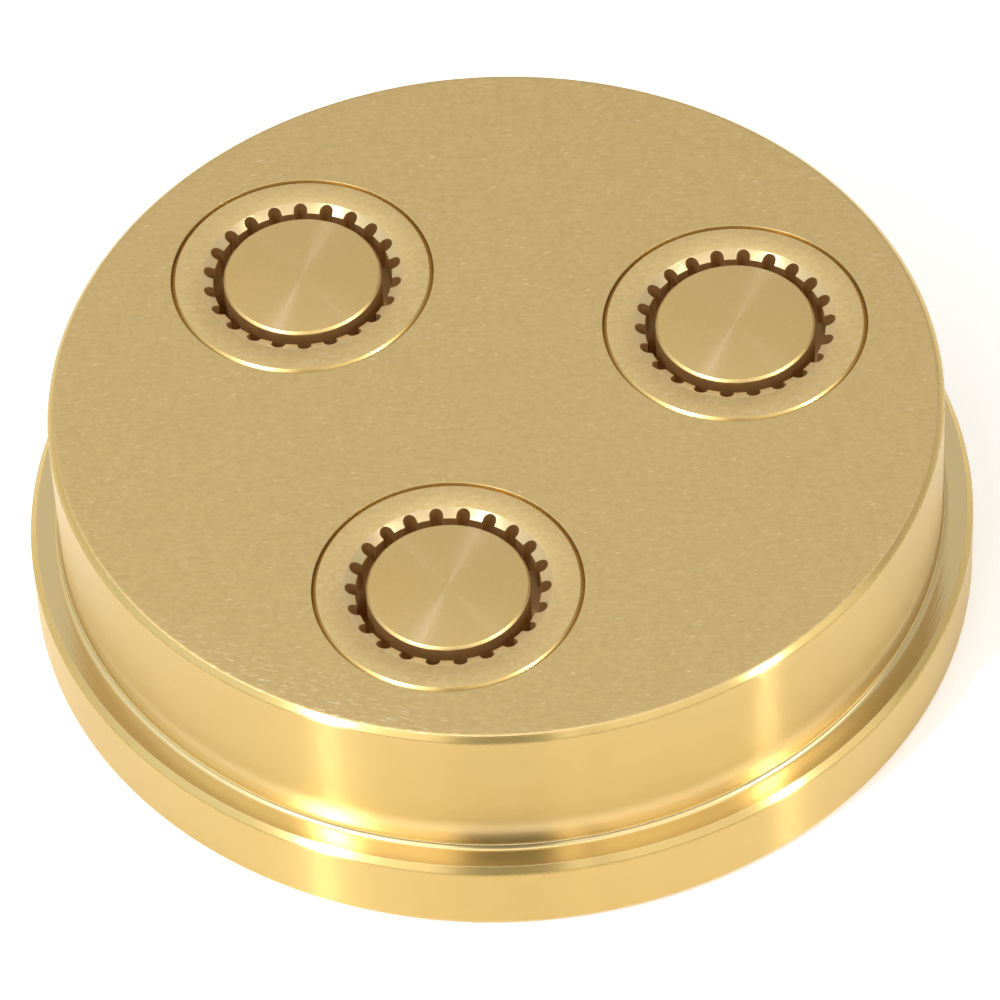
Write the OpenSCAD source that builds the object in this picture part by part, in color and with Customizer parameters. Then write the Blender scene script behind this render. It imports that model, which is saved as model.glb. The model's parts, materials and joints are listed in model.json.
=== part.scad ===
// Pasta extrusion die with drop-in inserts for ridged tubes
// The dough enters from below, at z = 0, and leaves at the exit face on top.

/* [Body] */
// Diameter of the clamping flange
flange_d = 59; // [57.5:0.1:66]
// Thickness of the clamping flange
flange_h = 5.3; // [4.5:0.1:8]
// Diameter of the spigot that passes through the clamping nut
spigot_d = 55.2; // [53:0.1:57]
// Height from the back face to the exit face
die_h = 15.4; // [13:0.1:20]
// Chamfer on the outer edges of the body
edge_chamfer = 0.4; // [0.2:0.05:0.7]
// Fillet where the spigot meets the flange
root_fillet = 0.4; // [0.2:0.05:0.7]
// Depth of the dough recess in the back
recess_depth = 5; // [3:0.1:6]
// Fillet round the floor of the dough recess
recess_fillet = 0.8; // [0.4:0.1:1.5]
// Room between the collars of the inserts and that fillet
recess_margin = 0.1; // [0:0.05:1]

/* [Inserts] */
// Number of inserts
insert_count = 3; // [2:1:4]
// Diameter of the circle through the centres of the inserts
insert_pcd = 31.6; // [29:0.1:33]
// Wall of an insert round its dough chamber
bush_wall = 1.48; // [1:0.02:2]
// Chamfer on the front edge of an insert
insert_chamfer = 0.25; // [0.1:0.05:0.4]
// Width of the step by which the collar of an insert stands out
collar_step = 1.2; // [0.8:0.1:1.6]
// Thickness of the collar
collar_h = 3; // [2:0.1:4]
// Radial clearance between an insert and its bore
insert_clearance = 0.02; // [0.01:0.01:0.05]
// How far each insert is turned in its bore, in degrees
insert_turns = [14.8, 7.1, 12.3]; // [0:0.1:16]

/* [Outlet] */
// Number of ridges on the tube
ridge_count = 22; // [16:1:26]
// Thickness of the tube between its ridges
dough_wall = 0.65; // [0.5:0.01:0.9]
// Depth of the notches that form the ridges
notch_depth = 0.62; // [0.45:0.01:0.75]
// Width of a notch
notch_w = 0.85; // [0.6:0.01:0.9]
// Width of the countersink outside the notches
countersink_margin = 0.05; // [0.02:0.01:0.4]
// Depth of the countersink at the tooth tips
countersink_depth = 0.3; // [0.1:0.05:0.6]
// Length of the parallel outlet
land_h = 2.5; // [1.5:0.1:3.5]
// Length of the taper that leads into it
taper_h = 1.2; // [0.8:0.1:1.6]
// Width of the step between the notches and the dough chamber
chamber_step = 0.5; // [0.4:0.05:0.9]

/* [Core pins] */
// Diameter of a core pin, the inside of the tube
pin_d = 9.9; // [8.5:0.05:10.5]
// Chamfer on the front edge of a core pin
pin_chamfer = 0.15; // [0.1:0.05:0.4]
// How far the full diameter runs on behind the outlet
pin_lead = 0.5; // [0.3:0.1:1]
// Length of the flare from the stem to the full diameter
flare_h = 2; // [1.2:0.1:2.6]
// Diameter of the stem
stem_d = 6.4; // [5:0.1:8]
// Number of legs that carry the stem
leg_count = 3; // [2:1:4]
// Width of a leg
leg_w = 2.6; // [1.6:0.1:3.5]
// Height of a leg
leg_h = 2.6; // [1.6:0.1:2.9]
// Width of the step on which the legs seat
seat_step = 0.8; // [0.5:0.1:1]
// Radial clearance between the legs and their seat
leg_clearance = 0.02; // [0.01:0.01:0.05]

/* [Hidden] */
$fn = 96;
// Overlap by which a cut runs past the face it opens
cut = 1;
// Overlap by which an added fillet runs into its walls
weld = 0.1;

flange_r = flange_d / 2;
spigot_r = spigot_d / 2;
pin_r = pin_d / 2;
stem_r = stem_d / 2;
tooth_tip_r = pin_r + dough_wall;
notch_root_r = tooth_tip_r + notch_depth;
countersink_r = notch_root_r + countersink_margin;
chamber_r = notch_root_r + chamber_step;
seat_r = chamber_r + seat_step;
insert_r = chamber_r + bush_wall;
collar_r = insert_r + collar_step;
recess_r = insert_pcd / 2 + collar_r + recess_fillet + recess_margin;

collar_top = recess_depth + collar_h;
leg_top = recess_depth + leg_h;
land_start = die_h - land_h;
taper_start = land_start - taper_h;
flare_end = land_start - pin_lead;
flare_start = flare_end - flare_h;

function insert_angle(i) = i * 360 / insert_count;
function insert_turn(i) = insert_turns[i % len(insert_turns)];

bush_names = [for (i = [1 : insert_count]) str("insert_bush_", i)];
core_names = [for (i = [1 : insert_count]) str("core_pin_", i)];

// Puts its children on the axis of one insert
module at_insert(i) {
    rotate(insert_angle(i))
        translate([insert_pcd / 2, 0, 0])
            rotate(-insert_angle(i))
                children();
}

// Fills the inside corner of two walls along +X and +Y
module corner_fillet(r) {
    difference() {
        translate([-weld, -weld])
            square(r + weld);
        translate([r, r])
            circle(r);
    }
}

// Half section of the body, with the bores not yet cut
module body_section() {
    polygon([
        [0, recess_depth],
        [recess_r, recess_depth],
        [recess_r, 0],
        [flange_r - edge_chamfer, 0],
        [flange_r, edge_chamfer],
        [flange_r, flange_h - edge_chamfer],
        [flange_r - edge_chamfer, flange_h],
        [spigot_r, flange_h],
        [spigot_r, die_h - edge_chamfer],
        [spigot_r - edge_chamfer, die_h],
        [0, die_h]
    ]);
    translate([spigot_r, flange_h])
        corner_fillet(root_fillet);
    translate([recess_r, recess_depth])
        rotate(180)
            corner_fillet(recess_fillet);
}

// Stepped bore that takes one insert from the back
module insert_bore() {
    translate([0, 0, recess_depth - cut])
        cylinder(r = insert_r + insert_clearance, h = die_h - recess_depth + 2 * cut);
    translate([0, 0, recess_depth - cut])
        cylinder(r = collar_r + insert_clearance, h = collar_h + cut);
}

module die_body() {
    color("#d8b46c")
        difference() {
            rotate_extrude()
                body_section();
            for (i = [0 : insert_count - 1])
                at_insert(i)
                    insert_bore();
        }
}

// Half section of a bush, with the notches not yet cut
module bush_section() {
    polygon([
        [seat_r, recess_depth],
        [collar_r, recess_depth],
        [collar_r, collar_top],
        [insert_r, collar_top],
        [insert_r, die_h - insert_chamfer],
        [insert_r - insert_chamfer, die_h],
        [countersink_r, die_h],
        [tooth_tip_r, die_h - countersink_depth],
        [tooth_tip_r, land_start],
        [chamber_r, taper_start],
        [chamber_r, leg_top],
        [seat_r, leg_top]
    ]);
}

// Outline of one notch: straight sides and a round root
module notch_outline() {
    round_centre = notch_root_r - notch_w / 2;
    translate([pin_r, -notch_w / 2])
        square([round_centre - pin_r, notch_w]);
    translate([round_centre, 0])
        circle(d = notch_w);
}

module insert_bush(i) {
    color("#cfa95f")
        at_insert(i)
            difference() {
                rotate_extrude()
                    bush_section();
                for (k = [0 : ridge_count - 1])
                    rotate(insert_turn(i) + k * 360 / ridge_count)
                        translate([0, 0, taper_start])
                            linear_extrude(die_h - taper_start + cut)
                                notch_outline();
            }
}

// Half section of a core pin without its legs
module core_section() {
    polygon([
        [0, recess_depth],
        [stem_r, recess_depth],
        [stem_r, flare_start],
        [pin_r, flare_end],
        [pin_r, die_h - pin_chamfer],
        [pin_r - pin_chamfer, die_h],
        [0, die_h]
    ]);
}

// Star of legs, rounded at its ends to fit the seat in the bush
module leg_outline() {
    intersection() {
        circle(r = seat_r - leg_clearance);
        for (k = [0 : leg_count - 1])
            rotate(k * 360 / leg_count)
                translate([0, -leg_w / 2])
                    square([seat_r, leg_w]);
    }
}

module core_pin(i) {
    color("#c9a052")
        at_insert(i) {
            rotate_extrude()
                core_section();
            rotate(insert_angle(i))
                translate([0, 0, recess_depth])
                    linear_extrude(leg_h)
                        leg_outline();
        }
}

die_body();
for (i = [0 : insert_count - 1]) {
    insert_bush(i);
    core_pin(i);
}
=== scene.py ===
import json
import math

import bpy
from mathutils import Matrix, Vector


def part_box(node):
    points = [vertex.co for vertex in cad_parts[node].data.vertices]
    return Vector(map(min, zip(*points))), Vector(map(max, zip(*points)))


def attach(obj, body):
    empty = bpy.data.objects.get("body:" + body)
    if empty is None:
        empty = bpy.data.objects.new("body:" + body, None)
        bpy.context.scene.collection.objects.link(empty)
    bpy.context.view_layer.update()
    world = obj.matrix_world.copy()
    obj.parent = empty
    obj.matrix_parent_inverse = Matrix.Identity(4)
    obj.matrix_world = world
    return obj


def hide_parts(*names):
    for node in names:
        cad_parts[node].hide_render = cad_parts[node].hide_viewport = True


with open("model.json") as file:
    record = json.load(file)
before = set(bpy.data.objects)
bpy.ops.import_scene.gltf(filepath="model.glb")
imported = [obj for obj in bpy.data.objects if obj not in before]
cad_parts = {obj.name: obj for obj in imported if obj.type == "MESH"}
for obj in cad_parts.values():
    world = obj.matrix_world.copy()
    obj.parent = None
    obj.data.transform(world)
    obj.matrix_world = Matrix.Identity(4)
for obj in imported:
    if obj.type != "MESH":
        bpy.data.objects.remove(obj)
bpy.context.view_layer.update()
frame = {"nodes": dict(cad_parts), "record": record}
scene = bpy.context.scene
scene.view_settings.view_transform = "Standard"
mm = 0.001
weldGap = 0.001 * mm        # points closer than this become one
faceSkin = 0.0004 * mm      # faces this close to the exit plane belong to it
print("frame loaded:", len(frame["nodes"]), "nodes")

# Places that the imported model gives
mounts = {mount["name"]: mount for mount in frame["record"]["mounts"]}
flangeRadius = mounts["flange_rim"]["dims"]["r_mm"] * mm
spigotRadius = mounts["spigot"]["dims"]["r_mm"] * mm
shoulderHeight = mounts["clamp_shoulder"]["pos_m"][2]
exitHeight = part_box("die_body")[1].z
bushNames = sorted(name for name in frame["nodes"] if name.startswith("insert_bush"))
coreNames = sorted(name for name in frame["nodes"] if name.startswith("core_pin"))


def nodeCentre(name):
    low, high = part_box(name)
    return Vector(((low.x + high.x) / 2, (low.y + high.y) / 2, 0))


bushLow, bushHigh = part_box(bushNames[0])
collarRadius = (bushHigh.y - bushLow.y) / 2
seatPlane = bushLow.z                       # floor of the dough recess
centres = [nodeCentre(name) for name in bushNames]
pitchRadius = centres[0].length


def inMetres(sizes):
    return [size * mm for size in sizes]


# Links a socket, or sets a plain value on the node's own socket
def plug(tree, value, socket):
    if isinstance(value, bpy.types.NodeSocket):
        tree.links.new(value, socket)
    else:
        socket.default_value = value


def addNode(tree, kind, inputs=None, **settings):
    node = tree.nodes.new(kind)
    for key, value in settings.items():
        setattr(node, key, value)
    for key, value in (inputs or {}).items():
        plug(tree, value, node.inputs[key])
    return node


def mathNode(tree, operation, first, second=0.0, third=0.0):
    inputs = {0: first, 1: second, 2: third}
    return addNode(tree, "ShaderNodeMath", inputs, operation=operation).outputs[0]


# Runs from low to high as the factor goes from 0 to 1
def between(tree, factor, low, high):
    return mathNode(tree, "MULTIPLY_ADD", factor, high - low, low)


def vectorNode(tree, operation, first, second=(0, 0, 0)):
    node = addNode(tree, "ShaderNodeVectorMath", {0: first, 1: second}, operation=operation)
    return node.outputs["Value" if operation in ("LENGTH", "DOT_PRODUCT") else "Vector"]


def vector(tree, x, y, z):
    return addNode(tree, "ShaderNodeCombineXYZ", {0: x, 1: y, 2: z}).outputs[0]


def newTree(name, inputs):
    tree = bpy.data.node_groups.new(name, "GeometryNodeTree")
    tree.interface.new_socket("Geometry", in_out="INPUT", socket_type="NodeSocketGeometry")
    for kind, labels in inputs.items():
        for label in labels:
            tree.interface.new_socket(label, in_out="INPUT", socket_type="NodeSocket" + kind)
    tree.interface.new_socket("Geometry", in_out="OUTPUT", socket_type="NodeSocketGeometry")
    return tree, tree.nodes.new("NodeGroupInput").outputs


def endTree(tree, geometry):
    tree.links.new(geometry, tree.nodes.new("NodeGroupOutput").inputs[0])


def shift(tree, geometry, offset):
    return addNode(tree, "GeometryNodeTransform", {
        "Geometry": geometry, "Translation": offset}).outputs[0]


def realize(tree, geometry):
    return addNode(tree, "GeometryNodeRealizeInstances", {"Geometry": geometry}).outputs[0]


def weld(tree, geometry, distance):
    return addNode(tree, "GeometryNodeMergeByDistance", {
        "Geometry": geometry, "Distance": distance}).outputs[0]


def flip(tree, mesh):
    return addNode(tree, "GeometryNodeFlipFaces", {"Mesh": mesh}).outputs[0]


def circle(tree, points, radius):
    return addNode(tree, "GeometryNodeCurvePrimitiveCircle", {
        "Resolution": points, "Radius": radius}, mode="RADIUS").outputs[0]


def solid(tree, operation, first, second):
    node = addNode(tree, "GeometryNodeMeshBoolean", operation=operation, solver="EXACT")
    tree.links.new(first, node.inputs[0 if operation == "DIFFERENCE" else 1])
    tree.links.new(second, node.inputs[1])
    return node.outputs[0]


# Copies of a shape at even steps about the Z axis
def ringOf(tree, shape, count, turn):
    spots = addNode(tree, "GeometryNodeMeshLine", {"Count": count, "Offset": (0, 0, 0)}).outputs[0]
    index = addNode(tree, "GeometryNodeInputIndex").outputs[0]
    step = mathNode(tree, "DIVIDE", math.tau, count)
    angle = mathNode(tree, "MULTIPLY_ADD", index, step, turn)
    copies = addNode(tree, "GeometryNodeInstanceOnPoints", {
        "Points": spots, "Instance": shape, "Rotation": vector(tree, 0, 0, angle)})
    return realize(tree, copies.outputs[0])


# Turns a section, drawn with the radius along X and the height along Y, about the Z axis.
# Each corner of the section brings its own rounding in the attribute cornerRound.
turning = {
    "guideRadius": 1 * mm,
    "stepsPerMm": 16,       # steps of a rounding, by its radius
    "leastSteps": 3.2,
}


def makeTurningTree(t):
    tree, given = newTree("turning", {"Int": ["Segments"]})
    corner = addNode(tree, "GeometryNodeInputNamedAttribute", {"Name": "cornerRound"},
                     data_type="FLOAT")
    radius = corner.outputs["Attribute"]
    steps = mathNode(tree, "MULTIPLY_ADD", radius, t["stepsPerMm"] / mm, t["leastSteps"])
    line = addNode(tree, "GeometryNodeMeshToCurve", {"Mesh": given["Geometry"]})
    rounded = addNode(tree, "GeometryNodeFilletCurve", {
        "Curve": line.outputs[0], "Count": steps, "Radius": radius, "Limit Radius": True},
        mode="POLY")
    placed = addNode(tree, "GeometryNodeTransform", {
        "Geometry": rounded.outputs[0], "Translation": (-t["guideRadius"], 0, 0),
        "Scale": (1, -1, 1)})
    swept = addNode(tree, "GeometryNodeCurveToMesh", {
        "Curve": circle(tree, given["Segments"], t["guideRadius"]),
        "Profile Curve": placed.outputs[0]})
    endTree(tree, weld(tree, flip(tree, swept.outputs[0]), weldGap))
    return tree


turningTree = makeTurningTree(turning)


def turnedSection(tree, section, segments):
    group = tree.nodes.new("GeometryNodeGroup")
    group.node_tree = turningTree
    tree.links.new(section, group.inputs["Geometry"])
    tree.links.new(segments, group.inputs["Segments"])
    return group.outputs[0]


# Corners are radius, height and rounding
def drawSection(name, corners, closed=False):
    mesh = bpy.data.meshes.new(name)
    count = len(corners)
    edges = [(i, (i + 1) % count) for i in range(count if closed else count - 1)]
    mesh.from_pydata([(r, z, 0) for r, z, _ in corners], edges, [])
    rounds = mesh.attributes.new("cornerRound", "FLOAT", "POINT")
    rounds.data.foreach_set("value", [c for _, _, c in corners])
    part = bpy.data.objects.new(name, mesh)
    scene.collection.objects.link(part)
    return part


# Runs a tree on a section and keeps the result as a plain mesh with even normals
def finishPiece(name, section, tree, values):
    shape = section.modifiers.new("shape", "NODES")
    shape.node_group = tree
    for item in tree.interface.items_tree:
        if item.in_out == "INPUT" and item.name in values:
            shape[item.identifier] = values[item.name]
    even = section.modifiers.new("even", "WEIGHTED_NORMAL")
    even.keep_sharp = True
    bpy.context.view_layer.update()
    depsgraph = bpy.context.evaluated_depsgraph_get()
    mesh = bpy.data.meshes.new_from_object(section.evaluated_get(depsgraph), depsgraph=depsgraph)
    mesh.name = name
    piece = bpy.data.objects.new(name, mesh)
    scene.collection.objects.link(piece)
    bpy.data.objects.remove(section)
    print("made", name, "with", len(mesh.polygons), "faces")
    return piece


def compare(tree, operation, value, limit):
    return addNode(tree, "FunctionNodeCompare", {0: value, 1: limit}, data_type="FLOAT",
                   operation=operation).outputs[0]


def above(tree, value, limit):
    return compare(tree, "GREATER_THAN", value, limit)


def below(tree, value, limit):
    return compare(tree, "LESS_THAN", value, limit)


def allOf(tree, first, *others):
    for other in others:
        both = addNode(tree, "FunctionNodeBooleanMath", {0: first, 1: other}, operation="AND")
        first = both.outputs[0]
    return first


def smoothEdges(tree, geometry, sharpAngle=35):
    smooth = addNode(tree, "GeometryNodeSetShadeSmooth", {
        "Geometry": geometry, "Shade Smooth": True}, domain="FACE")
    angle = addNode(tree, "GeometryNodeInputMeshEdgeAngle").outputs["Unsigned Angle"]
    return addNode(tree, "GeometryNodeSetShadeSmooth", {
        "Geometry": smooth.outputs[0], "Selection": above(tree, angle, math.radians(sharpAngle)),
        "Shade Smooth": False}, domain="EDGE").outputs[0]


def paint(tree, geometry, material, selection=None):
    node = addNode(tree, "GeometryNodeSetMaterial", {"Geometry": geometry, "Material": material})
    if selection is not None:
        tree.links.new(selection, node.inputs["Selection"])
    return node.outputs[0]


def heightOf(tree):
    place = addNode(tree, "GeometryNodeInputPosition").outputs[0]
    return addNode(tree, "ShaderNodeSeparateXYZ", {0: place}).outputs[2]


def radiusOf(tree, centre):
    place = addNode(tree, "GeometryNodeInputPosition").outputs[0]
    away = vectorNode(tree, "SUBTRACT", place, centre)
    return vectorNode(tree, "LENGTH", vectorNode(tree, "MULTIPLY", away, (1, 1, 0)))


# How far up a face looks, from -1 to 1
def slopeOf(tree):
    normal = addNode(tree, "GeometryNodeInputNormal").outputs[0]
    return addNode(tree, "ShaderNodeSeparateXYZ", {0: normal}).outputs[2]


# Camera, fitted to the outlines in the photograph
photoView = {
    "azimuth": -17.44,      # degrees about Z
    "elevation": 48.812,
    "roll": -3.076,
    "lens": 246.15,
    "sensor": 36,
    "distance": 431.77,     # mm from the origin, along the view
    "right": -0.237,        # mm that the camera stands off that line
    "up": 3.484,
    "clip": (0.01, 20),
}


def makeCamera(v):
    tilt, roll = math.radians(v["elevation"]), math.radians(v["roll"])
    forward = Vector((0, math.cos(tilt), -math.sin(tilt)))
    right = Vector((1, 0, 0))
    up = right.cross(forward)
    across = math.cos(roll) * right + math.sin(roll) * up
    over = -math.sin(roll) * right + math.cos(roll) * up
    place = (-forward * v["distance"] + across * v["right"] + over * v["up"]) * mm
    turn = Matrix.Rotation(math.radians(v["azimuth"]), 3, "Z")
    axes = Matrix((turn @ across, turn @ over, turn @ -forward)).transposed()
    data = bpy.data.cameras.new("camera")
    data.sensor_width = v["sensor"]
    data.lens = v["lens"]
    data.clip_start, data.clip_end = v["clip"]
    camera = bpy.data.objects.new("camera", data)
    camera.matrix_world = Matrix.Translation(turn @ place) @ axes.to_4x4()
    scene.collection.objects.link(camera)
    scene.camera = camera


makeCamera(photoView)
cameraSide = photoView["azimuth"] - 90      # azimuth from the object to the camera
print("camera set")

# Soft room light: brightness by bearing from the camera, positive to the right
room = {
    "middle": [(-180, 0.6), (-112, 0.82), (-85, 1.05), (-56, 1.05), (-38, 1.4), (-18, 1.4),
               (-13, 0.2), (8, 0.2), (11.5, 1.4), (15.5, 1.4), (17, 0.5), (19, 0.5), (21, 1.2),
               (50, 1.1), (52.5, 0.4), (55.5, 0.4), (58, 1.4), (88, 1.4), (94, 0.5), (150, 0.5),
               (166, 0.56), (180, 0.6)],
    "low": [(-180, 0.36), (-100, 0.45), (-60, 0.45), (-40, 0.3), (-24, 0.16), (24, 0.16), (60, 0.3),
            (100, 0.35), (150, 0.36), (180, 0.36)],
    "tint": [(-180, (1.05, 1.0, 0.9)), (-125, (1.02, 1.0, 0.96)), (-105, (0.95, 1.05, 1.2)),
             (-70, (0.95, 1.05, 1.2)), (-50, (1.0, 1.0, 1.0)), (130, (1.0, 1.0, 1.0)),
             (180, (1.05, 1.0, 0.9))],
    "zenith": 1.25,
    "peak": 2.0,            # level that the ramps take as full
    "lowBand": (12, 26),    # degrees of elevation
    "highBand": (58, 80),
}


def ramp(tree, factor, stops):
    node = addNode(tree, "ShaderNodeValToRGB", {"Fac": factor})
    elements = node.color_ramp.elements
    while len(elements) < len(stops):
        elements.new(0.5)
    for element, (where, colour) in zip(elements, stops):
        element.position = where
        element.color = tuple(colour) + (1,)
    return node.outputs["Color"]


def mixColour(tree, factor, first, second, blend="MIX"):
    inputs = {0: factor, 6: first, 7: second}
    return addNode(tree, "ShaderNodeMix", inputs, data_type="RGBA", blend_type=blend).outputs[2]


def smoothStep(tree, value, low, high):
    return addNode(tree, "ShaderNodeMapRange", {"Value": value, "From Min": low, "From Max": high},
                   interpolation_type="SMOOTHSTEP").outputs[0]


def makeRoom(r):
    world = bpy.data.worlds.new("room")
    world.use_nodes = True
    scene.world = world
    tree = world.node_tree
    tree.nodes.clear()
    direction = addNode(tree, "ShaderNodeTexCoord").outputs["Generated"]
    facing = addNode(tree, "ShaderNodeVectorRotate", {
        "Vector": direction, "Angle": math.radians(-cameraSide)}, rotation_type="Z_AXIS").outputs[0]
    split = addNode(tree, "ShaderNodeSeparateXYZ", {0: facing}).outputs
    bearing = mathNode(tree, "ARCTAN2", split[1], split[0])
    around = mathNode(tree, "MULTIPLY_ADD", bearing, 1 / math.tau, 0.5)
    height = mathNode(tree, "ARCSINE", split[2])

    def ringLight(stops):
        return ramp(tree, around, [(where / 360 + 0.5, colour) for where, colour in stops])

    def levels(key):
        return ringLight([(where, [level / r["peak"]] * 3) for where, level in r[key]])

    def band(key):
        return smoothStep(tree, height, *[math.radians(angle) for angle in r[key]])

    side = mixColour(tree, band("lowBand"), levels("low"), levels("middle"))
    side = mixColour(tree, 1.0, side, ringLight(r["tint"]), "MULTIPLY")
    top = (r["zenith"] / r["peak"],) * 3 + (1,)
    colour = mixColour(tree, band("highBand"), side, top)
    light = addNode(tree, "ShaderNodeBackground", {"Color": colour, "Strength": r["peak"]})
    out = tree.nodes.new("ShaderNodeOutputWorld")
    tree.links.new(light.outputs[0], out.inputs["Surface"])


makeRoom(room)

# Two lamps, one on each side of the camera. Distance and size in m.
lamps = [
    {"name": "lamp_left", "bearing": -48, "elevation": 50, "distance": 0.7,
     "size": 0.04, "radiance": 880},
    {"name": "lamp_right", "bearing": 60.5, "elevation": 36, "distance": 0.7,
     "size": 0.06, "radiance": 130},
]


def makeLamp(lamp):
    data = bpy.data.lights.new(lamp["name"], "AREA")
    data.shape = "DISK"
    data.size = lamp["size"]
    discArea = math.pi * lamp["size"] ** 2 / 4
    data.energy = lamp["radiance"] * math.pi * discArea
    azimuth, elevation = math.radians(cameraSide + lamp["bearing"]), math.radians(lamp["elevation"])
    reach = math.cos(elevation)
    aim = Vector((math.cos(azimuth) * reach, math.sin(azimuth) * reach, math.sin(elevation)))
    light = bpy.data.objects.new(lamp["name"], data)
    light.location = aim * lamp["distance"]
    light.rotation_mode = "QUATERNION"
    light.rotation_quaternion = aim.to_track_quat("Z", "Y")
    scene.collection.objects.link(light)


for lamp in lamps:
    makeLamp(lamp)

# White table top. The lift brings lit paper to white for the eye and for reflections,
# and leaves the shadow.
table = {
    "radius": 3.0,
    "segments": 96,
    "colour": (0.9, 0.9, 0.89, 1),
    "shade": (0.885, 0.885, 0.875, 1),
    "grainScale": 900.0,
    "grainDetail": 4.0,
    "lift": 0.2,
    "liftFade": (0.12, 0.6),    # m from the middle
}


def makeTable(t):
    material = bpy.data.materials.new("white_paper")
    material.use_nodes = True
    tree = material.node_tree
    tree.nodes.clear()
    path = addNode(tree, "ShaderNodeLightPath").outputs
    seen = mathNode(tree, "MAXIMUM", path["Is Camera Ray"], path["Is Glossy Ray"])
    seen = mathNode(tree, "MAXIMUM", seen, path["Is Transmission Ray"])
    grain = addNode(tree, "ShaderNodeTexNoise", {
        "Scale": t["grainScale"], "Detail": t["grainDetail"]}).outputs[0]
    paper = addNode(tree, "ShaderNodeBsdfDiffuse", {
        "Color": mixColour(tree, grain, t["shade"], t["colour"])})
    away = vectorNode(tree, "LENGTH", addNode(tree, "ShaderNodeTexCoord").outputs["Object"])
    near = mathNode(tree, "SUBTRACT", 1.0, smoothStep(tree, away, *t["liftFade"]))
    lift = mathNode(tree, "MULTIPLY", mathNode(tree, "MULTIPLY", seen, near), t["lift"])
    glow = addNode(tree, "ShaderNodeEmission", {"Strength": lift})
    total = addNode(tree, "ShaderNodeAddShader", {0: paper.outputs[0], 1: glow.outputs[0]})
    out = tree.nodes.new("ShaderNodeOutputMaterial")
    tree.links.new(total.outputs[0], out.inputs["Surface"])
    count = t["segments"]
    angles = [math.tau * k / count for k in range(count)]
    rim = [(t["radius"] * math.cos(angle), t["radius"] * math.sin(angle), 0) for angle in angles]
    mesh = bpy.data.meshes.new("table")
    mesh.from_pydata(rim, [], [list(range(count))])
    mesh.materials.append(material)
    top = bpy.data.objects.new("table", mesh)
    scene.collection.objects.link(top)


makeTable(table)
print("light and table set")


# Brass finishes
def startBrass(name, centre=(0, 0, 0)):
    material = bpy.data.materials.new(name)
    material.use_nodes = True
    tree = material.node_tree
    shader = tree.nodes["Principled BSDF"]
    shader.inputs["Metallic"].default_value = 1.0
    place = addNode(tree, "ShaderNodeTexCoord").outputs["Object"]
    centred = addNode(tree, "ShaderNodeMapping", {
        "Vector": place, "Location": (-centre[0], -centre[1], 0)}).outputs[0]
    return material, tree, shader, centred


def setFinish(tree, shader, finish):
    for key, value in finish.items():
        plug(tree, value, shader.inputs[key])


def noise(tree, place, scale, detail, rough):
    return addNode(tree, "ShaderNodeTexNoise", {
        "Vector": place, "Scale": scale, "Detail": detail, "Roughness": rough}).outputs[0]


# Noise drawn out to marks of a length and width in mm
def marks(tree, place, length, width, detail, rough):
    drawn = addNode(tree, "ShaderNodeMapping", {
        "Vector": place, "Scale": (1 / (length * mm), 1 / (width * mm), 1)}).outputs[0]
    return noise(tree, drawn, 1.0, detail, rough)


# Height, place in plan and distance from the axis
def planOf(tree, centred):
    split = addNode(tree, "ShaderNodeSeparateXYZ", {0: centred}).outputs
    flat = vector(tree, split[0], split[1], 0)
    return split[2], flat, vectorNode(tree, "LENGTH", flat)


# What all lathe work shares, sizes in mm. Each noise is its detail and roughness.
lathe = {
    "stretchTurn": 0.25,        # quarter turn: highlights stretch across the rings
    "climb": 1.37,              # lets the rings run up a wall as they run out on a face
    "ringNoise": (1.0, 0.6),
    "cloudSize": 3.8,
    "cloudNoise": (3.0, 0.5),
    "grainSize": (0.3, 0.22),
    "grainNoise": (2.0, 0.7),
    "grainDepth": 0.012,
    "grainStrength": 0.25,
}


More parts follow.
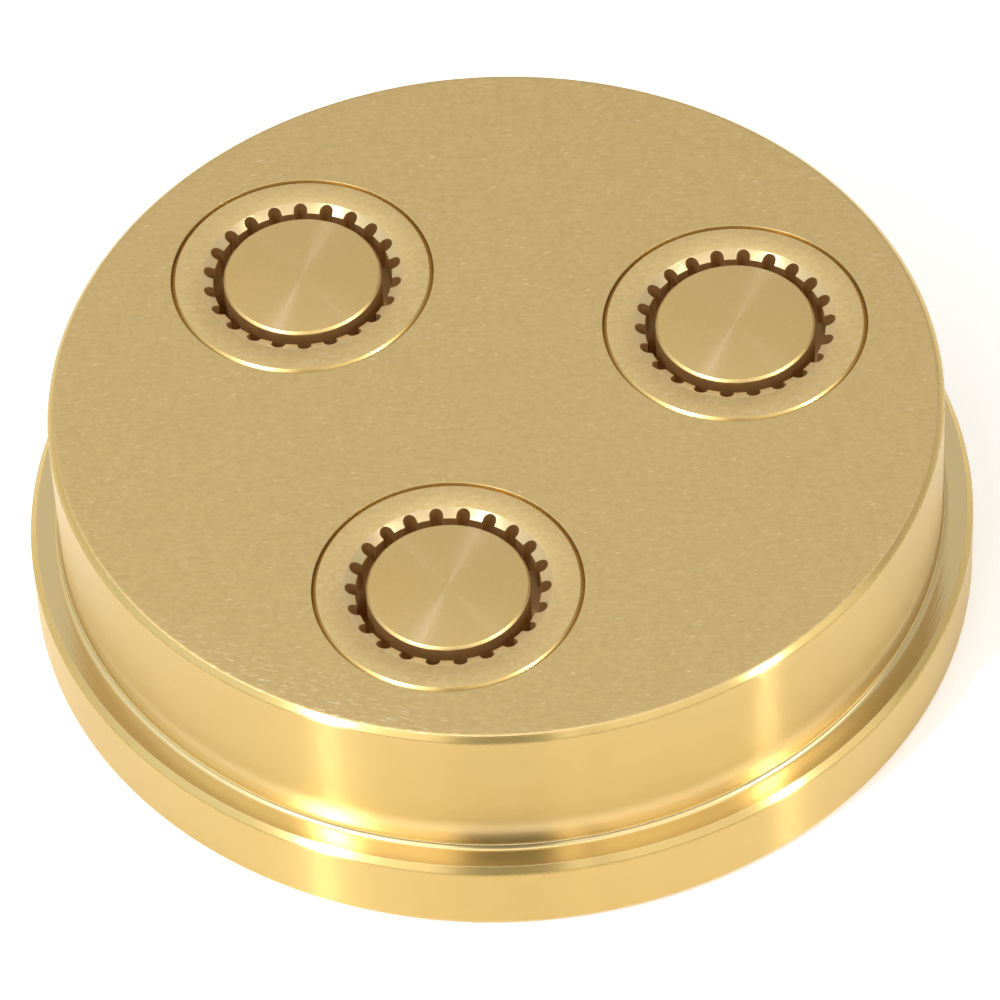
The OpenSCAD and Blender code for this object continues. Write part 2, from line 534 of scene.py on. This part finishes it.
# Surface off the lathe: rings about the axis stretch every highlight across them
def turnedBrass(name, look, centre=(0, 0, 0)):
    material, tree, shader, centred = startBrass(name, centre)
    height, flat, radius = planOf(tree, centred)
    along = vectorNode(tree, "NORMALIZE", vectorNode(tree, "CROSS_PRODUCT", (0, 0, 1), flat))
    path = mathNode(tree, "MULTIPLY_ADD", height, lathe["climb"], radius)
    detail, rough = lathe["ringNoise"]
    rings = addNode(tree, "ShaderNodeTexNoise", {
        "W": path, "Scale": 1 / (look["ringPitch"] * mm), "Detail": detail, "Roughness": rough},
        noise_dimensions="1D").outputs[0]
    lean = between(tree, rings, -look["ringSlope"], look["ringSlope"])
    cloudSize = look.get("cloudSize", lathe["cloudSize"])
    clouds = noise(tree, centred, 1 / (cloudSize * mm), *lathe["cloudNoise"])
    tone = mixColour(tree, clouds, look["shade"], look["tone"])
    roughness = look["roughness"]
    if "calmBand" in look:      # smoother towards the foot of the wall, and paler there as a painted sheen
        rise = smoothStep(tree, height, *inMetres(look["calmBand"]))
        lean = mathNode(tree, "MULTIPLY", lean, between(tree, rise, look["calm"], 1))
        roughness = between(tree, rise, look["calmRoughness"], roughness)
        # The paler tone at the foot is a painted sheen for the bright reflection the wall catches
        # from the shoulder
        foot = smoothStep(tree, height, *inMetres(look["footBand"]))
        tone = mixColour(tree, foot, look["footSheenTone"], tone)
    normal = addNode(tree, "ShaderNodeNewGeometry").outputs["Normal"]
    across = vectorNode(tree, "CROSS_PRODUCT", normal, along)
    leaning = addNode(tree, "ShaderNodeVectorMath", {0: across, "Scale": lean}, operation="SCALE")
    grooved = vectorNode(tree, "NORMALIZE", vectorNode(tree, "ADD", normal, leaning.outputs[0]))
    finish = {
        "Base Color": tone, "Roughness": roughness, "Normal": grooved, "Tangent": along,
        "Anisotropic": look["stretch"], "Anisotropic Rotation": lathe["stretchTurn"]}
    if "glint" in look:         # a few steep rings that catch only the lamps
        grain = addNode(tree, "ShaderNodeBump", {
            "Strength": lathe["grainStrength"], "Distance": lathe["grainDepth"] * mm,
            "Height": marks(tree, centred, *lathe["grainSize"], *lathe["grainNoise"])})
        finish.update({
            "Normal": grain.outputs[0], "Coat Normal": grooved, "Coat Weight": look["glint"],
            "Coat Roughness": look["glintRoughness"], "Coat IOR": look["glintIor"]})
    setFinish(tree, shader, finish)
    return material


# What both ground faces share. Marks are degrees, length and width in mm, and the detail
# and roughness of their noise.
grinding = {
    "fineMarks": (3, 1.2, 0.2, 2.0, 0.5),
    "dashMarks": [(-14, 0.75, 0.12, 0.0, 0.5), (9, 0.55, 0.1, 0.0, 0.5)],
    "rimGlintMarks": (17, 0.8, 0.2, 1.0, 0.5),
    "grainNoise": (2.0, 0.7),
    "dashes": (0.76, 0.86),     # noise levels at which a scratch painted as a glint starts and is full
    "dashShare": 0.7,
    "patchesPerMm": 0.7,
    "patchNoise": (3.0, 0.6),
    "patchShare": 0.35,
    "fineShare": 0.3,
    "mottle": (0.55, 1.1),
    "grainHeight": 0.7,
    "depth": 0.012,
    "strength": 0.25,
}


# Exit face, ground flat: fine straight scratches, grain, and a few dashes painted bright as glints
def groundBrass(name, look):
    material, tree, shader, centred = startBrass(name)
    g = grinding

    def streaks(angle, length, width, detail, rough):
        turn = math.radians(angle) - math.radians(photoView["azimuth"])
        turned = addNode(tree, "ShaderNodeMapping", {"Vector": centred, "Rotation": (0, 0, turn)})
        return marks(tree, turned.outputs[0], length, width, detail, rough)

    fine = streaks(*g["fineMarks"])
    grain = streaks(0, *look["grain"], *g["grainNoise"])
    patches = noise(tree, centred, g["patchesPerMm"] / mm, *g["patchNoise"])
    bright = [smoothStep(tree, streaks(*mark), *g["dashes"]) for mark in g["dashMarks"]]
    strength = g["strength"]
    if "rimGlints" in look:         # painted glints of the left lamp, dense near the rim on one side
        flat = planOf(tree, centred)[1]
        side = math.radians(cameraSide + look["rimGlintBearing"])
        outward = vectorNode(tree, "DOT_PRODUCT", flat, (math.cos(side), math.sin(side), 0))
        rimGlints = smoothStep(tree, streaks(*g["rimGlintMarks"]), *look["rimGlints"])
        nearRim = smoothStep(tree, outward, *inMetres(look["rimGlintBand"]))
        bright.append(mathNode(tree, "MULTIPLY", rimGlints, nearRim))
    if "wear" in look:          # rougher towards the rim
        worn = smoothStep(tree, planOf(tree, centred)[2], *inMetres(look["wornRim"]))
        strength = mathNode(tree, "MULTIPLY_ADD", worn, look["wear"], strength)
    dashes = bright[0]
    for more in bright[1:]:
        dashes = mathNode(tree, "MAXIMUM", dashes, more)
    mottle = mathNode(tree, "MULTIPLY_ADD", fine, g["fineShare"], grain)
    mottle = mathNode(tree, "MULTIPLY_ADD", patches, g["patchShare"], mottle)
    tone = mixColour(tree, smoothStep(tree, mottle, *g["mottle"]), look["shade"], look["tone"])
    # The paler colour mixed in at the dashes is a painted glint on real scratch marks
    tone = mixColour(tree, mathNode(tree, "MULTIPLY", dashes, g["dashShare"]), tone, look["bright"])
    bump = addNode(tree, "ShaderNodeBump", {
        "Strength": strength, "Distance": g["depth"] * mm,
        "Height": mathNode(tree, "MULTIPLY_ADD", grain, g["grainHeight"], fine)})
    setFinish(tree, shader, {
        "Base Color": tone, "Roughness": look["roughness"], "Normal": bump.outputs[0]})
    return material


# Ring pitch, bands and sizes in mm. The finest rings are far below a pixel and read as satin.
looks = {
    "wall": {
        "tone": (0.652, 0.458, 0.168, 1), "shade": (0.614, 0.431, 0.153, 1), "roughness": 0.2,
        "stretch": 1.0, "ringPitch": 0.0005, "ringSlope": 1.75,
        "calmBand": (6.3, 8), "calm": 0.1, "calmRoughness": 0.18,
        # The foot tone is a painted sheen, paler than the wall
        "footBand": (6.6, 8), "footSheenTone": (0.79, 0.6, 0.3, 1)},
    "rim": {
        "tone": (0.642, 0.45, 0.154, 1), "shade": (0.608, 0.425, 0.142, 1), "roughness": 0.23,
        "stretch": 1.0, "ringPitch": 0.0005, "ringSlope": 1.8},
    "edge": {
        "tone": (0.87, 0.63, 0.24, 1), "shade": (0.82, 0.585, 0.21, 1), "roughness": 0.28,
        "stretch": 1.0, "ringPitch": 0.1, "ringSlope": 0.1},
    "shoulder": {
        "tone": (0.9, 0.725, 0.4, 1), "shade": (0.87, 0.695, 0.372, 1), "roughness": 0.15,
        "stretch": 0.4, "ringPitch": 0.1, "ringSlope": 0.04},
    "root": {
        "tone": (0.92, 0.71, 0.34, 1), "shade": (0.88, 0.67, 0.31, 1), "roughness": 0.2,
        "stretch": 0.3, "ringPitch": 0.1, "ringSlope": 0.03},
    "pin": {
        "tone": (0.84, 0.585, 0.2, 1), "shade": (0.74, 0.51, 0.17, 1), "roughness": 0.38,
        "stretch": 0.0, "ringPitch": 0.0005, "ringSlope": 1.9, "cloudSize": 0.32,
        "glint": 1.0, "glintRoughness": 0.29, "glintIor": 1.75},
    "sink": {
        "tone": (0.95, 0.74, 0.4, 1), "shade": (0.92, 0.71, 0.37, 1), "roughness": 0.3,
        "stretch": 0.5, "ringPitch": 0.0005, "ringSlope": 1.4},
    "outlet": {
        "tone": (0.74, 0.5, 0.22, 1), "shade": (0.66, 0.44, 0.19, 1), "roughness": 0.5,
        "stretch": 0.0, "ringPitch": 0.3, "ringSlope": 0.06},
    "back": {
        "tone": (0.8, 0.56, 0.21, 1), "shade": (0.72, 0.49, 0.17, 1), "roughness": 0.34,
        "stretch": 0.5, "ringPitch": 0.35, "ringSlope": 0.06},
    "bore": {
        "tone": (0.6, 0.47, 0.22, 1), "shade": (0.52, 0.4, 0.18, 1), "roughness": 0.42,
        "stretch": 0.4, "ringPitch": 0.3, "ringSlope": 0.06},
    "ground": {
        "tone": (0.68, 0.508, 0.238, 1), "shade": (0.6, 0.449, 0.199, 1),
        "bright": (0.86, 0.74, 0.48, 1), "roughness": 0.6, "grain": (0.5, 0.4),
        "wornRim": (25.2, 27.2), "wear": 1.2,
        # The last three values place painted glints near the rim, on one side of the face
        "rimGlints": (0.56, 0.72), "rimGlintBand": (22.5, 27.4), "rimGlintBearing": -26},
    "bushGround": {
        "tone": (0.75, 0.568, 0.276, 1), "shade": (0.657, 0.49, 0.224, 1),
        "bright": (0.84, 0.75, 0.54, 1), "roughness": 0.58, "grain": (0.46, 0.36)},
}
bodyFinishes = {
    "Wall Finish": turnedBrass("turned_wall", looks["wall"]),
    "Rim Finish": turnedBrass("turned_rim", looks["rim"]),
    "Edge Finish": turnedBrass("turned_edges", looks["edge"]),
    "Shoulder Finish": turnedBrass("turned_shoulder", looks["shoulder"]),
    "Root Finish": turnedBrass("turned_root", looks["root"]),
    "Bore Finish": turnedBrass("dull_bores", looks["bore"]),
    "Back Finish": turnedBrass("turned_back", looks["back"]),
    "Face Finish": groundBrass("ground_exit_face", looks["ground"]),
}
bushFace = groundBrass("ground_bush_face", looks["bushGround"])
print("finishes made")

# Body: flange, spigot, dough recess and stepped bores
dieBody = {
    "edgeChamfer": 0.4 * mm,
    "edgeRound": 0.3 * mm,
    "shoulderRound": 0.05 * mm,
    "backRound": 0.05 * mm,
    "rootFillet": 0.4 * mm,
    "recessRadius": 26.1 * mm,
    "recessFillet": 0.8 * mm,
    "recessSkin": 0.01 * mm,    # takes the wall of the recess in with its floor
    "boreRadius": 8.22 * mm,
    "collarTop": 8.0 * mm,
    "boreRound": 0.03 * mm,
    "floorRound": 0.015 * mm,
    "clearance": 0.02 * mm,
    "faceRim": 0.3 * mm,        # width of exit face that is turned with the wall
    "boreRim": 0.1 * mm,
    "floorRim": 0.02 * mm,
    "uprightSlope": 0.6,        # a face that looks up less than this is a wall
    "levelSlope": 0.84,         # one that looks up more than this is flat
    "rootSlope": 0.02,          # and one in the root fillet looks up more than this
    "segments": 360,
    "boreSegments": 176,
}


def makeBody(b):
    chamfer, edge = b["edgeChamfer"], b["edgeRound"]
    floorRadius = b["recessRadius"] - b["recessFillet"] - b["floorRim"]
    faceRadius = spigotRadius - chamfer - b["faceRim"]
    wall = drawSection("die_body_section", [
        (floorRadius, seatPlane, 0),
        (b["recessRadius"], seatPlane, b["recessFillet"]),
        (b["recessRadius"], 0, b["backRound"]),
        (flangeRadius - chamfer, 0, b["backRound"]),
        (flangeRadius, chamfer, edge),
        (flangeRadius, shoulderHeight - chamfer, edge),
        (flangeRadius - chamfer, shoulderHeight, b["shoulderRound"]),
        (spigotRadius, shoulderHeight, b["rootFillet"]),
        (spigotRadius, exitHeight - chamfer, edge),
        (spigotRadius - chamfer, exitHeight, edge),
        (faceRadius, exitHeight, 0),
    ])
    counterRadius = collarRadius + b["clearance"]
    bore = drawSection("bore_section", [
        (b["boreRadius"] + b["boreRim"], exitHeight, 0),
        (b["boreRadius"], exitHeight, b["boreRound"]),
        (b["boreRadius"], b["collarTop"], b["boreRound"]),
        (counterRadius, b["collarTop"], b["boreRound"]),
        (counterRadius, seatPlane, b["floorRound"]),
        (counterRadius + b["floorRim"], seatPlane, 0),
    ])
    tree, given = newTree("die_body", {
        "Object": ["Bore Section"],
        "Int": ["Bores", "Segments", "Bore Segments"],
        "Float": ["Pitch Radius", "Face Radius", "Face Bore Radius", "Floor Radius",
                  "Floor Bore Radius", "Exit Height", "Floor Height", "Shoulder Height",
                  "Root Top", "Back Radius"],
        "Material": list(bodyFinishes)})
    shell = turnedSection(tree, given["Geometry"], given["Segments"])
    shell = paint(tree, shell, given["Edge Finish"])
    slope, height = slopeOf(tree), heightOf(tree)
    high = above(tree, height, given["Shoulder Height"])
    low = below(tree, height, given["Root Top"])
    upright = below(tree, mathNode(tree, "ABSOLUTE", slope), b["uprightSlope"])
    shell = paint(tree, shell, given["Rim Finish"], upright)
    shell = paint(tree, shell, given["Wall Finish"], allOf(tree, upright, high))
    level = above(tree, slope, b["levelSlope"])
    shell = paint(tree, shell, given["Face Finish"], level)
    shell = paint(tree, shell, given["Shoulder Finish"], allOf(tree, level, low))
    root = allOf(tree, above(tree, slope, b["rootSlope"]), high, low)
    shell = paint(tree, shell, given["Root Finish"], root)
    inside = below(tree, radiusOf(tree, (0, 0, 0)), given["Back Radius"])
    shell = paint(tree, shell, given["Back Finish"], inside)
    boreLine = addNode(tree, "GeometryNodeObjectInfo", {"Object": given["Bore Section"]})
    boreWall = turnedSection(tree, boreLine.outputs["Geometry"], given["Bore Segments"])
    boreWall = paint(tree, boreWall, given["Bore Finish"])
    spots = addNode(tree, "GeometryNodeMeshCircle", {
        "Vertices": given["Bores"], "Radius": given["Pitch Radius"]}, fill_type="NONE").outputs[0]

    def onSpots(shape):
        placed = addNode(tree, "GeometryNodeInstanceOnPoints", {"Points": spots, "Instance": shape})
        return realize(tree, placed.outputs[0])

    def plate(radius, boreRadius, height):
        outline = tree.nodes.new("GeometryNodeJoinGeometry")
        tree.links.new(circle(tree, given["Segments"], radius), outline.inputs[0])
        holes = onSpots(circle(tree, given["Bore Segments"], boreRadius))
        tree.links.new(holes, outline.inputs[0])
        filled = addNode(tree, "GeometryNodeFillCurve", {"Curve": outline.outputs[0]},
                         mode="TRIANGLES")
        return shift(tree, filled.outputs[0], vector(tree, 0, 0, height))

    face = plate(given["Face Radius"], given["Face Bore Radius"], given["Exit Height"])
    floor = plate(given["Floor Radius"], given["Floor Bore Radius"], given["Floor Height"])
    joined = tree.nodes.new("GeometryNodeJoinGeometry")
    for part in (shell, onSpots(boreWall), paint(tree, face, given["Face Finish"]),
                 paint(tree, flip(tree, floor), given["Back Finish"])):
        tree.links.new(part, joined.inputs[0])
    closed = weld(tree, joined.outputs[0], 2 * weldGap)
    topLimit = mathNode(tree, "SUBTRACT", given["Exit Height"], faceSkin)
    whole = realize(tree, smoothEdges(tree, closed))
    endTree(tree, paint(tree, whole, given["Face Finish"], above(tree, heightOf(tree), topLimit)))
    piece = finishPiece("die_body_brass", wall, tree, {
        "Bore Section": bore, "Bores": len(centres), "Pitch Radius": pitchRadius,
        "Segments": b["segments"], "Bore Segments": b["boreSegments"],
        "Face Radius": faceRadius, "Face Bore Radius": b["boreRadius"] + b["boreRim"],
        "Floor Radius": floorRadius, "Floor Bore Radius": counterRadius + b["floorRim"],
        "Exit Height": exitHeight, "Floor Height": seatPlane, "Shoulder Height": shoulderHeight,
        "Root Top": shoulderHeight + b["rootFillet"],
        "Back Radius": b["recessRadius"] + b["recessSkin"], **bodyFinishes})
    bpy.data.objects.remove(bore)
    return piece


body = makeBody(dieBody)
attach(body, "root")
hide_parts("die_body")

# Bush: a serrated outlet, dough chamber and seat behind it
bush = {
    "insertRadius": 8.2 * mm,
    "insertChamfer": 0.25 * mm,
    "edgeRound": 0.03 * mm,
    "collarTop": 8.0 * mm,
    "seatRadius": 7.52 * mm,
    "seatTop": 7.6 * mm,
    "chamberRadius": 6.72 * mm,
    "taperStart": 11.7 * mm,
    "landStart": 12.9 * mm,
    "tipRadius": 5.6 * mm,
    "sinkRadius": 6.27 * mm,
    "sinkDepth": 0.3 * mm,
    "sinkSlope": 0.5,               # faces of the countersink look up more than this
    "innerMargin": 0.6 * mm,        # from the countersink out to the chamber's wall
    "notchStart": 4.95 * mm,
    "notchRoot": 6.22 * mm,
    "notchWidth": 0.85 * mm,
    "notchRound": 0.4999,           # share of the width, just short of a half
    "notchSteps": 12,
    "notchPast": 1 * mm,            # how far the cut runs on past the exit face
    "notches": 22,
    "turns": [14.8, 7.1, 12.3],     # degrees by which each bush is turned in its bore
    "segments": 264,
}


def makeBushTree(b):
    tree, given = newTree("serrated_bush", {
        "Vector": ["Centre"],
        "Int": ["Segments", "Notches"],
        "Float": ["Turn", "Notch Start", "Notch Root", "Notch Width", "Notch Bottom", "Exit Height",
                  "Sink Radius", "Sink Depth"],
        "Material": ["Wall Finish", "Face Finish", "Sink Finish", "Outlet Finish"]})
    blank = turnedSection(tree, given["Geometry"], given["Segments"])
    length = mathNode(tree, "SUBTRACT", given["Notch Root"], given["Notch Start"])
    middle = mathNode(tree, "MULTIPLY_ADD", length, 0.5, given["Notch Start"])
    outline = addNode(tree, "GeometryNodeCurvePrimitiveQuadrilateral", {
        "Width": length, "Height": given["Notch Width"]}, mode="RECTANGLE").outputs[0]
    roundness = mathNode(tree, "MULTIPLY", given["Notch Width"], b["notchRound"])
    outline = addNode(tree, "GeometryNodeFilletCurve", {
        "Curve": outline, "Count": b["notchSteps"], "Radius": roundness, "Limit Radius": True},
        mode="POLY").outputs[0]
    top = mathNode(tree, "ADD", given["Exit Height"], b["notchPast"])
    stroke = addNode(tree, "GeometryNodeCurvePrimitiveLine", {
        "Start": vector(tree, 0, 0, given["Notch Bottom"]),
        "End": vector(tree, 0, 0, top)}).outputs[0]
    cutter = addNode(tree, "GeometryNodeCurveToMesh", {
        "Curve": stroke, "Profile Curve": outline, "Fill Caps": True}).outputs[0]
    cutter = shift(tree, cutter, vector(tree, middle, 0, 0))
    ring = ringOf(tree, cutter, given["Notches"], given["Turn"])
    blank = addNode(tree, "GeometryNodeTransform", {
        "Geometry": blank, "Rotation": vector(tree, 0, 0, given["Turn"])}).outputs[0]
    moved = shift(tree, solid(tree, "DIFFERENCE", blank, ring), given["Centre"])
    whole = realize(tree, smoothEdges(tree, moved))
    height, radius, slope = heightOf(tree), radiusOf(tree, given["Centre"]), slopeOf(tree)
    inner = below(tree, radius, mathNode(tree, "ADD", given["Sink Radius"], b["innerMargin"]))
    sinkFloor = mathNode(tree, "SUBTRACT", given["Exit Height"], given["Sink Depth"])
    sink = allOf(tree, above(tree, height, sinkFloor), above(tree, slope, b["sinkSlope"]), inner)
    face = above(tree, height, mathNode(tree, "SUBTRACT", given["Exit Height"], faceSkin))
    whole = paint(tree, whole, given["Wall Finish"])
    whole = paint(tree, whole, given["Outlet Finish"], inner)
    whole = paint(tree, whole, given["Sink Finish"], sink)
    endTree(tree, paint(tree, whole, given["Face Finish"], face))
    return tree


def makeBush(name, number, tree, b):
    chamfer, edge = b["insertChamfer"], b["edgeRound"]
    section = drawSection(name + "_section", [
        (b["seatRadius"], seatPlane, edge),
        (collarRadius, seatPlane, edge),
        (collarRadius, b["collarTop"], edge),
        (b["insertRadius"], b["collarTop"], edge),
        (b["insertRadius"], exitHeight - chamfer, edge),
        (b["insertRadius"] - chamfer, exitHeight, edge),
        (b["sinkRadius"], exitHeight, 0),
        (b["tipRadius"], exitHeight - b["sinkDepth"], 0),
        (b["tipRadius"], b["landStart"], 0),
        (b["chamberRadius"], b["taperStart"], 0),
        (b["chamberRadius"], b["seatTop"], edge),
        (b["seatRadius"], b["seatTop"], edge),
    ], closed=True)
    centre = centres[number]
    return finishPiece(name + "_brass", section, tree, {
        "Centre": centre, "Turn": math.radians(b["turns"][number]), "Segments": b["segments"],
        "Notches": b["notches"], "Notch Start": b["notchStart"], "Notch Root": b["notchRoot"],
        "Notch Width": b["notchWidth"], "Notch Bottom": b["taperStart"], "Exit Height": exitHeight,
        "Sink Radius": b["sinkRadius"], "Sink Depth": b["sinkDepth"],
        "Wall Finish": turnedBrass(name + "_turned", looks["back"], centre),
        "Face Finish": bushFace,
        "Sink Finish": turnedBrass(name + "_countersink", looks["sink"], centre),
        "Outlet Finish": turnedBrass(name + "_outlet", looks["outlet"], centre)})


bushTree = makeBushTree(bush)
for number, name in enumerate(bushNames):
    piece = makeBush(name, number, bushTree, bush)
    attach(piece, "root")
    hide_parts(name)

# Core pin: a faced end in the outlet, carried by legs in the seat of the bush
core = {
    "pinRadius": 4.95 * mm,
    "pinChamfer": 0.15 * mm,
    "stemRadius": 3.2 * mm,
    "edgeRound": 0.04 * mm,
    "flareStart": 10.4 * mm,
    "flareEnd": 12.4 * mm,
    "legRadius": 7.5 * mm,
    "legWidth": 2.6 * mm,
    "legHeight": 2.6 * mm,
    "legRoot": 0.7,         # share of the stem's radius at which a leg starts
    "legOverrun": 1.1,      # length of the bar before its end is cut round, as a share
    "cutOverrun": 2.0,      # height of the round that cuts it, as a share of the leg's
    "legs": 3,
    "segments": 176,
}


def makeCoreTree(c):
    tree, given = newTree("core_pin", {
        "Vector": ["Centre"],
        "Int": ["Segments", "Legs"],
        "Float": ["Turn", "Leg Start", "Leg Radius", "Leg Width", "Leg Height", "Leg Bottom",
                  "End Limit"],
        "Material": ["End Finish", "Side Finish"]})
    pin = turnedSection(tree, given["Geometry"], given["Segments"])
    reach = mathNode(tree, "SUBTRACT", given["Leg Radius"], given["Leg Start"])
    reach = mathNode(tree, "MULTIPLY", reach, c["legOverrun"])
    middle = mathNode(tree, "MULTIPLY_ADD", reach, 0.5, given["Leg Start"])
    half = mathNode(tree, "MULTIPLY_ADD", given["Leg Height"], 0.5, given["Leg Bottom"])
    size = vector(tree, reach, given["Leg Width"], given["Leg Height"])
    bar = addNode(tree, "GeometryNodeMeshCube", {"Size": size}).outputs[0]
    bar = shift(tree, bar, vector(tree, middle, 0, half))
    seat = addNode(tree, "GeometryNodeMeshCylinder", {
        "Vertices": given["Segments"], "Radius": given["Leg Radius"],
        "Depth": mathNode(tree, "MULTIPLY", given["Leg Height"], c["cutOverrun"])}).outputs[0]
    leg = solid(tree, "INTERSECT", bar, shift(tree, seat, vector(tree, 0, 0, half)))
    legs = ringOf(tree, leg, given["Legs"], given["Turn"])
    joined = shift(tree, solid(tree, "UNION", pin, legs), given["Centre"])
    whole = realize(tree, smoothEdges(tree, weld(tree, joined, weldGap)))
    whole = paint(tree, whole, given["Side Finish"])
    end = above(tree, heightOf(tree), given["End Limit"])
    endTree(tree, paint(tree, whole, given["End Finish"], end))
    return tree


def makeCore(name, number, tree, c):
    chamfer, edge = c["pinChamfer"], c["edgeRound"]
    section = drawSection(name + "_section", [
        (0, seatPlane, 0),
        (c["stemRadius"], seatPlane, edge),
        (c["stemRadius"], c["flareStart"], edge),
        (c["pinRadius"], c["flareEnd"], edge),
        (c["pinRadius"], exitHeight - chamfer, edge),
        (c["pinRadius"] - chamfer, exitHeight, edge),
        (0, exitHeight, 0),
    ])
    centre = centres[number]
    return finishPiece(name + "_brass", section, tree, {
        "Centre": centre, "Turn": math.atan2(centre.y, centre.x), "Segments": c["segments"],
        "Legs": c["legs"], "Leg Start": c["stemRadius"] * c["legRoot"],
        "Leg Radius": c["legRadius"], "Leg Width": c["legWidth"], "Leg Height": c["legHeight"],
        "Leg Bottom": seatPlane, "End Limit": exitHeight - chamfer - edge,
        "End Finish": turnedBrass(name + "_faced", looks["pin"], centre),
        "Side Finish": turnedBrass(name + "_side", looks["outlet"], centre)})


coreTree = makeCoreTree(core)
for number, name in enumerate(coreNames):
    piece = makeCore(name, number, coreTree, core)
    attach(piece, "root")
    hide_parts(name)
